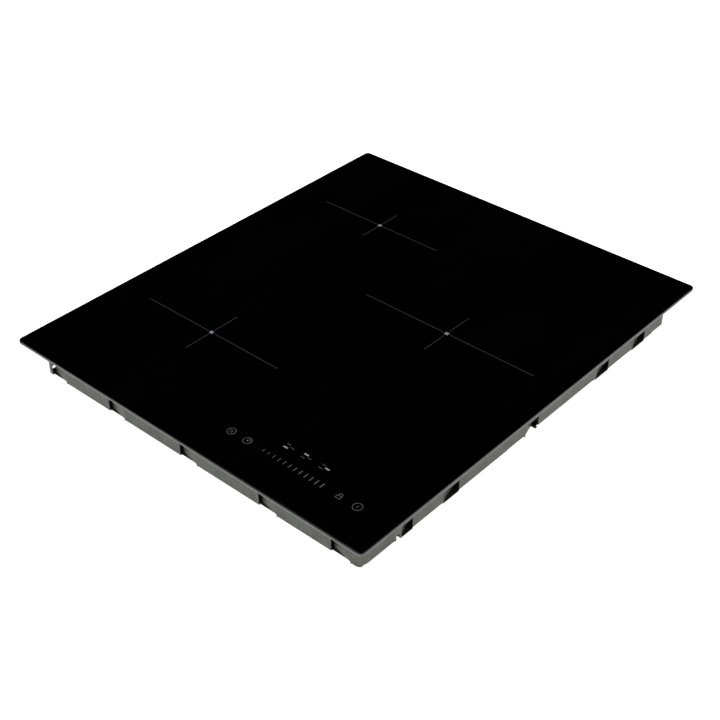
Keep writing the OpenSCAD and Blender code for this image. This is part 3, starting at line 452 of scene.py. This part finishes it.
slot_of = {part["node"]: part["material_slot"] for part in frame["record"]["subparts"]}
finishes = {
    # A deep black with barely seen wipe marks
    "ceramic_glass": polished_black_glass(),
    # Thin grey lines, with a cool white dot in each zone's middle
    "enamel_print": printed_enamel("fired_enamel_print", "#55595d", "#555955", "#b4bdc8", ZONE_MIDDLES, 3),
    # Matt charcoal with open pores
    "foam_seal": cells("closed_cell_foam", "#1b1b1b", "#2c2c2c", 0.5, (0.85, 1.0), 0.12),
    # Soft black with a rubbery sheen where it was squeezed out
    "silicone": surface("cured_silicone", "#0c0c0c", "#191919", 5, (0.35, 0.5), 0.02),
    "coated_steel": satin_coated_steel(),
    # Bluish silver with pale yellow clouds, slightly dulled
    "zinc_steel": surface("zinc_plated_steel", "#a9afb2", "#c5c3b0", 3, (0.25, 0.45), 0.005, Metallic=1.0),
    # Warm yellow metal with fine lathe rings round it
    "brass": striped("turned_brass", "#b08c3c", "#d2b261", 0.3, "Z", (0.2, 0.35), 0.01, Metallic=1.0),
    # Cream sheet of overlapping translucent flakes
    "mica": cells("mica_paper", "#cbc4ab", "#e6e1d0", 3, (0.35, 0.6), 0.02),
    # Fine enamelled strands, twisted: warm copper with dark gaps
    "copper_litz": striped("enamelled_litz_wire", "#6e3216", "#c8743c", 0.5, "DIAGONAL", (0.3, 0.45), 0.06,
                           Metallic=0.8),
    # Off-white moulding with a faint fibre grain
    "nylon_white": surface("glass_filled_nylon", "#d2cfc2", "#e2dfd3", 6, (0.5, 0.65), 0.02, (1, 0.15, 1)),
    # Charcoal ceramic, matt and finely pitted
    "ferrite": surface("sintered_ferrite", "#262628", "#353538", 1, (0.6, 0.8), 0.05),
    # Pale metal with straight rolling lines
    "aluminium_sheet": surface("rolled_aluminium_sheet", "#c0c3c5", "#d0d2d3", 20, (0.25, 0.42), 0.008,
                               ALONG_Y, Metallic=1.0),
    # Brick-red rubber with a dusty bloom
    "silicone_red": surface("red_silicone_rubber", "#8f3a24", "#a54c33", 3, (0.6, 0.8), 0.03),
    # Ivory ceramic, unglazed
    "sensor_ceramic": surface("unglazed_steatite", "#c9c3b0", "#dcd7c8", 2, (0.55, 0.7), 0.03),
    # Dark red braid over a silicone core
    "lead_red": striped("braided_silicone_lead", "#4a0f0a", "#94291c", 0.6, "DIAGONAL", (0.5, 0.7), 0.08),
    "board_green": solder_mask(),
    # Carbon-loaded foam, dead black
    "contact_black": cells("carbon_loaded_rubber", "#101010", "#1d1d1d", 0.3, (0.7, 0.9), 0.05),
    # Clear red moulding with a bright gloss
    "lamp_red": surface("red_polycarbonate", "#b5281a", "#d23c2a", 1, (0.1, 0.2), 0.005),
    # Grey ribbon with a groove between its conductors
    "ribbon_grey": striped("grey_ribbon_cable", "#8e9296", "#c2c6c9", 1.27, "X", (0.45, 0.6), 0.2),
    # Near-black moulding with a spark-eroded grain
    "polymer_black": surface("black_fr_polyamide", "#101113", "#1b1c1e", 8, (0.45, 0.6), 0.04, fine_mm=0.25),
    # Mid-grey moulding with a satin grain
    "holder_grey": surface("grey_fr_polycarbonate", "#6d6f70", "#7c7e7f", 10, (0.4, 0.55), 0.03, fine_mm=0.3),
    # Pale metal with die lines along the fins
    "aluminium_extruded": surface("extruded_aluminium", "#aeb2b5", "#c5c8ca", 15, (0.3, 0.5), 0.02, ALONG_Y,
                                  Metallic=1.0),
    # Black epoxy, satin
    "component_black": surface("moulded_epoxy", "#0f0f10", "#19191a", 2, (0.4, 0.5), 0.02),
    # Mustard plastic case with a soft gloss
    "film_yellow": surface("polypropylene_case", "#a9821b", "#c29a2d", 5, (0.25, 0.4), 0.01),
    # Amber-red enamelled wire
    "copper_wire": striped("enamelled_copper_wire", "#7a3412", "#c9723a", 0.8, "DIAGONAL", (0.2, 0.35), 0.1,
                           Metallic=0.8),
    # Dark blue plastic case
    "relay_blue": surface("blue_pbt_case", "#172b49", "#213a5f", 6, (0.3, 0.45), 0.015),
    # Brown heat-resistant sheath with a slight waxy shine
    "mains_pvc": surface("heat_resistant_pvc", "#4a2e20", "#5f3f2d", 4, (0.4, 0.55), 0.02),
    # Copper turns on the poles
    "motor_copper": striped("wound_copper_stator", "#6b3415", "#b8703c", 0.4, "Z", (0.3, 0.45), 0.08,
                            Metallic=0.8),
    # Bright steel with ground rings
    "shaft_steel": striped("ground_shaft_steel", "#b9bcbf", "#d6d8da", 0.2, "Z", (0.12, 0.25), 0.003,
                           Metallic=1.0),
    # Ivory moulding of the terminals
    "terminal_nylon": surface("ivory_terminal_nylon", "#cfcab6", "#dfdaca", 4, (0.45, 0.6), 0.02),
    # Soft black rubber, matt
    "gland_rubber": surface("moulded_epdm_rubber", "#0b0b0b", "#161616", 3, (0.65, 0.85), 0.04),
}
for name, piece in frame["nodes"].items():
    give(piece, finishes[slot_of[name]])
give(
    frame["nodes"]["control_marks"],
    printed_enamel("fired_enamel_keys", "#787c80", "#787c78", "#c8d0d8", BOLD_DASHES, 3.6),
)


# ---- Glass plate ----

GLASS_CORNER_R = 5 * MM
ARRIS_TOP = 1.0 * MM
ARRIS_LOW = 0.9 * MM


def glass_plate():
    """A plate with round corners and a ground pencil edge; its lower arris is painted near white as a painted
    highlight.
    """
    plate = block("glass_plate_ground", GLASS_LOW, GLASS_HIGH)
    select(plate, "EDGE", upright(plate))
    bpy.ops.mesh.bevel(offset=GLASS_CORNER_R, offset_type="OFFSET", segments=10, affect="EDGES")
    for level, width in ((GLASS_LOW.z, ARRIS_LOW), (GLASS_HIGH.z, ARRIS_TOP)):
        select(plate, "EDGE", all_at(plate, 2, level))
        bpy.ops.mesh.bevel(offset=width, offset_type="OFFSET", segments=3, affect="EDGES")
    give(
        plate,
        finishes["ceramic_glass"],
        ground_glass_edge("ground_glass_edge", "#303230", "#454745"),
        # The lower arris: the same ground glass painted near white, a painted highlight where the bevel
        # catches the light
        ground_glass_edge("ground_glass_arris_painted_highlight", "#b8bab6", "#d0d2ce"),
    )
    middle = (GLASS_LOW.z + GLASS_HIGH.z) / 2

    def rim(face):
        return abs(face.normal.z) < 0.05 or (face.center.z < middle and face.normal.z > -0.9)

    # The faces of the lower arris, which get the painted highlight
    def painted_highlight_faces(face):
        return face.center.z < middle and 0.05 < -face.normal.z < 0.95

    for index, test in enumerate((rim, painted_highlight_faces), 1):
        select(plate, "FACE", test)
        plate.active_material_index = index
        bpy.ops.object.material_slot_assign()
    take_over(plate, "glass_plate", degrees=25)


glass_plate()


# ---- Screws ----


THREAD_PITCH_MM = 0.7
THREAD_ROOT = 0.86  # of the shank's radius
TIP_MM = 0.8
# The head's outline from its underside up, as shares of its (radius, height)
PAN_HEAD = [(0.97, 0), (1, 0.15), (1, 0.5), (0.93, 0.75), (0.75, 0.92), (0.4, 1)]
# The cross recess: half an arm's width and its reach, as shares of the head's width, and its floor
RECESS_HALF, RECESS_REACH, RECESS_FLOOR = 0.085, 0.29, 0.4


def pan_head_screw(name, head_mm, head_h_mm, shank_mm, length_mm):
    """A pan-head screw, its head's underside at z = 0: domed head, cross recess and threaded shank."""
    head_r, shank_r = head_mm / 2, shank_mm / 2
    profile = [(shank_r * 0.6, -length_mm), (shank_r * 0.9, -length_mm + 0.5)]
    for i in range(1, int((length_mm - 1) / THREAD_PITCH_MM)):
        root = -length_mm + TIP_MM + (i - 0.5) * THREAD_PITCH_MM
        crest = -length_mm + TIP_MM + i * THREAD_PITCH_MM
        profile += [(shank_r * THREAD_ROOT, root), (shank_r, crest)]
    profile += [(shank_r, 0)] + [(head_r * across, head_h_mm * up) for across, up in PAN_HEAD]
    made = turned(name, profile, sides=32)
    half, reach = head_mm * RECESS_HALF * MM, head_mm * RECESS_REACH * MM
    low_z, high_z = head_h_mm * RECESS_FLOOR * MM, (head_h_mm + 1) * MM
    for x, y in ((half, reach), (reach, half)):
        cut(made, block("recess", (-x, -y, low_z), (x, y, high_z)))
    return made


def screws(node, head_mm, head_h_mm, shank_mm, length_mm, up):
    """One screw for each solid of the node, its head towards the way that up gives."""
    first = pan_head_screw(node + "_pan_head", head_mm, head_h_mm, shank_mm, length_mm)
    copies = []
    for low, high in islands(node):
        way = up((low + high) / 2)
        middle = (low + high) / 2
        reach = sum(abs(way[i]) * (high[i] - low[i]) for i in range(3)) / 2
        seat = middle + way * (reach - head_h_mm * MM)
        copies.append(move(copy(first), seat, way.to_track_quat("Z", "Y").to_euler()))
    bpy.data.objects.remove(first)
    made = join(node + "_pan_heads", copies)
    give(made, finishes["zinc_steel"])
    take_over(made, node)


def outwards(middle):
    """The wall that a frame screw stands on: the one that its middle is nearest to."""
    gaps = {
        (1, 0, 0): TRAY_HIGH.x - middle.x,
        (-1, 0, 0): middle.x - TRAY_LOW.x,
        (0, 1, 0): TRAY_HIGH.y - middle.y,
        (0, -1, 0): middle.y - TRAY_LOW.y,
    }
    return Vector(min(gaps, key=gaps.get))


# Head's width and height, shank and length, in millimetres
screws("frame_screws", 6.6, 1.5, 4, 3, outwards)
screws("base_screws", 7.6, 2.2, 4, 8, lambda middle: Vector((0, 0, -1)))
screws("shield_screws", 7.6, 2.2, 4, 8, lambda middle: Vector((0, 0, 1)))
screws("board_screws", 4.6, 1.6, 2.5, 5.1, lambda middle: Vector((0, 0, 1)))


# ---- Terminal lid and cable gland ----

LID_THICK = 1.6 * MM
LID_HINGE_Z = 2.4 * MM
LID_BARREL_R, LID_PIN_R = 1.5, 1.0  # in millimetres
LID_PIN_L = 1.4 * MM
LID_BORDER = 5 * MM
FINGER_HALF = 8 * MM
RIB_PITCH, RIB_HALF = 9 * MM, 0.5 * MM

# The gland's outline in millimetres: (radius, distance in from its outer face)
GLAND_OUTLINE = [
    (5.6, 0), (8.6, 0), (9, 0.4), (9, 1.2), (8.7, 1.5), (7.4, 1.5), (7.4, 5.2), (8.2, 5.2), (8.4, 5.6),
    (7.9, 6.7), (7.2, 6.8),
]
GLAND_TIP = [(7, -0.4), (6.6, 0), (5.7, 0)]  # the same, measured back from the inner end
GLAND_RIB_PITCH = 1.8


def terminal_lid():
    """A moulded lid with a sunk panel, stiffening ribs, a finger slot, its barrel and its two pins."""
    low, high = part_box("terminal_lid")
    hinge_y, hinge_z = low.y + LID_BARREL_R * MM, LID_HINGE_Z
    plate_low = Vector((low.x + LID_PIN_L, low.y + 0.5 * MM, 0))
    plate_high = Vector((high.x - LID_PIN_L, high.y, LID_THICK))
    plate = block("terminal_lid_moulded", plate_low, plate_high)
    select(plate, "FACE", lambda face: face.normal.z < -0.9)
    bpy.ops.mesh.inset(thickness=LID_BORDER, depth=0)
    bpy.ops.mesh.inset(thickness=0.6 * MM, depth=-0.5 * MM)
    bpy.ops.object.mode_set(mode="OBJECT")
    middle = (plate_low.x + plate_high.x) / 2
    slot_low = (middle - FINGER_HALF, high.y - 3 * MM, -MM)
    cut(plate, block("finger_slot", slot_low, (middle + FINGER_HALF, high.y - 1.8 * MM, 3 * MM)))
    soften(plate, 0.3)
    parts = [plate]
    for i in range(-3, 4):
        x = middle + i * RIB_PITCH
        rib_low = (x - RIB_HALF, hinge_y + 6 * MM, 0.05 * MM)
        parts.append(soften(block("rib", rib_low, (x + RIB_HALF, high.y - 8 * MM, 0.5 * MM)), 0.15))
    for radius, reach in ((LID_BARREL_R, plate_high.x - plate_low.x), (LID_PIN_R, high.x - low.x)):
        half = reach / 2 / MM
        chamfer = [(radius * 0.8, -half), (radius, -half + 0.3), (radius, half - 0.3), (radius * 0.8, half)]
        bar = turned("barrel", chamfer, sides=24)
        parts.append(move(bar, (middle, hinge_y, hinge_z), (0, math.pi / 2, 0)))
    made = join("terminal_lid_moulded", parts)
    give(made, finishes["polymer_black"])
    take_over(made, "terminal_lid", "lid")


def cable_gland():
    """A moulded rubber gland: a rounded outer collar, a waist, an inner collar and ribs in its bore."""
    low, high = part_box("cable_gland")
    middle = (low + high) / 2
    length = (high.y - low.y) / MM
    profile = GLAND_OUTLINE + [(radius, length + back) for radius, back in GLAND_TIP]
    for i in range(4):
        crest = length - 1.6 - i * GLAND_RIB_PITCH
        profile += [(5.55, crest), (5.9, crest - 0.8)]
    made = turned("cable_gland_moulded", profile, ring=True)
    move(made, (middle.x, high.y, middle.z), (math.pi / 2, 0, 0))
    give(made, finishes["gland_rubber"])
    take_over(made, "cable_gland")


terminal_lid()
cable_gland()


# ---- Power and filter components ----


def cases(node, round_mm, finish_name):
    """Moulded cases with rounded edges, one for each solid of the node."""
    made = join(node + "_cases", [soften(block("case", low, high), round_mm) for low, high in islands(node)])
    give(made, finishes[finish_name])
    take_over(made, node)


CORE_R, CORE_THICK_R = 10 * MM, 5 * MM
WIRE_TURN_R, WIRE_R = 5.45 * MM, 0.5 * MM
WIRE_TURNS = 30


def torus(middle_r, thick_r, round_sides, thick_sides):
    bpy.ops.mesh.primitive_torus_add(
        major_radius=middle_r, minor_radius=thick_r, major_segments=round_sides, minor_segments=thick_sides)
    return bpy.context.object


def filter_chokes():
    """Ring cores with turns of enamelled wire round them."""
    parts = []
    for low, high in islands("filter_chokes"):
        middle = (low + high) / 2
        core = torus(CORE_R, CORE_THICK_R, 64, 24)
        give(core, finishes["ferrite"])
        parts.append(move(core, middle))
        for i in range(WIRE_TURNS):
            turn = torus(WIRE_TURN_R, WIRE_R, 24, 8)
            give(turn, finishes["copper_wire"])
            angle = math.radians(360 / WIRE_TURNS * i)
            place = middle + Vector((math.cos(angle), math.sin(angle), 0)) * CORE_R
            parts.append(move(turn, place, (math.pi / 2, 0, angle)))
    take_over(join("filter_chokes_wound", parts), "filter_chokes")


cases("film_capacitors", 1, "film_yellow")
cases("relays", 0.8, "relay_blue")
cases("power_transistors", 0.4, "component_black")
cases("indicator_lamps", 0.3, "lamp_red")
filter_chokes()


# ---- Floor and light ----


FLOOR_SIZE = 12
FLOOR_GAP = 0.4 * MM


def floor():
    """A large pale floor that glows as white as the backdrop, and that is clear when seen from below."""
    bpy.ops.mesh.primitive_plane_add(size=FLOOR_SIZE, location=(0, 0, -FLOOR_GAP))
    ground = bpy.context.object
    ground.name = "floor"
    made = bpy.data.materials.new("matt_white_floor")
    made.use_nodes = True
    tree = made.node_tree
    shader = tree.nodes["Principled BSDF"]
    shader.inputs["Base Color"].default_value = colour("#f4f4f4")
    shader.inputs["Roughness"].default_value = 0.9
    shader.inputs["Specular IOR Level"].default_value = 0.0
    shader.inputs["Emission Color"].default_value = colour("#ffffff")
    shader.inputs["Emission Strength"].default_value = 1.0
    clear = add(tree, "BsdfTransparent").outputs[0]
    under = add(tree, "NewGeometry").outputs["Backfacing"]
    mixed = add(tree, "MixShader", {0: under, 1: shader.outputs[0], 2: clear})
    tree.links.new(mixed.outputs[0], tree.nodes["Material Output"].inputs["Surface"])
    give(ground, made)
    bpy.ops.object.select_all(action="DESELECT")


def world():
    """White to the eye and below the floor; black flags hang above, so that the glass mirrors only them."""
    sky = bpy.data.worlds.new("studio")
    bpy.context.scene.world = sky
    sky.use_nodes = True
    tree = sky.node_tree
    height = add(tree, "SeparateXYZ", {0: add(tree, "TexCoord").outputs["Generated"]}).outputs["Z"]
    below = add(tree, "Math", {0: height, 1: 0.0}, operation="LESS_THAN").outputs[0]
    seen = add(tree, "LightPath").outputs["Is Camera Ray"]
    white = add(tree, "Math", {0: below, 1: seen}, operation="MAXIMUM").outputs[0]
    tint = between(tree, white, "#060607", "#ffffff", 0.0, 1.0)
    tree.links.new(tint, tree.nodes["Background"].inputs["Color"])


LAMP_AWAY = 2.5
LAMP_SIZE = 1.2
LAMP_ELEVATION = math.radians(62)


def softbox(name, azimuth, power):
    """A square softbox that faces the cooktop; 0 degrees is in front of it, and 90 is at its right."""
    a, e = math.radians(azimuth), LAMP_ELEVATION
    way = Vector((math.sin(a) * math.cos(e), -math.cos(a) * math.cos(e), math.sin(e)))
    data = bpy.data.lights.new(name, "AREA")
    data.shape = "SQUARE"
    data.size = LAMP_SIZE
    data.energy = power
    lamp = bpy.data.objects.new(name, data)
    bpy.context.scene.collection.objects.link(lamp)
    lamp.location = way * LAMP_AWAY
    lamp.rotation_mode = "QUATERNION"
    lamp.rotation_quaternion = way.to_track_quat("Z", "Y")


floor()
world()
softbox("softbox_front", 5, 9)
softbox("softbox_right", 100, 3)
softbox("softbox_back", 150, 10)
softbox("softbox_left", 290, 10)
bpy.context.scene.view_settings.view_transform = "Standard"
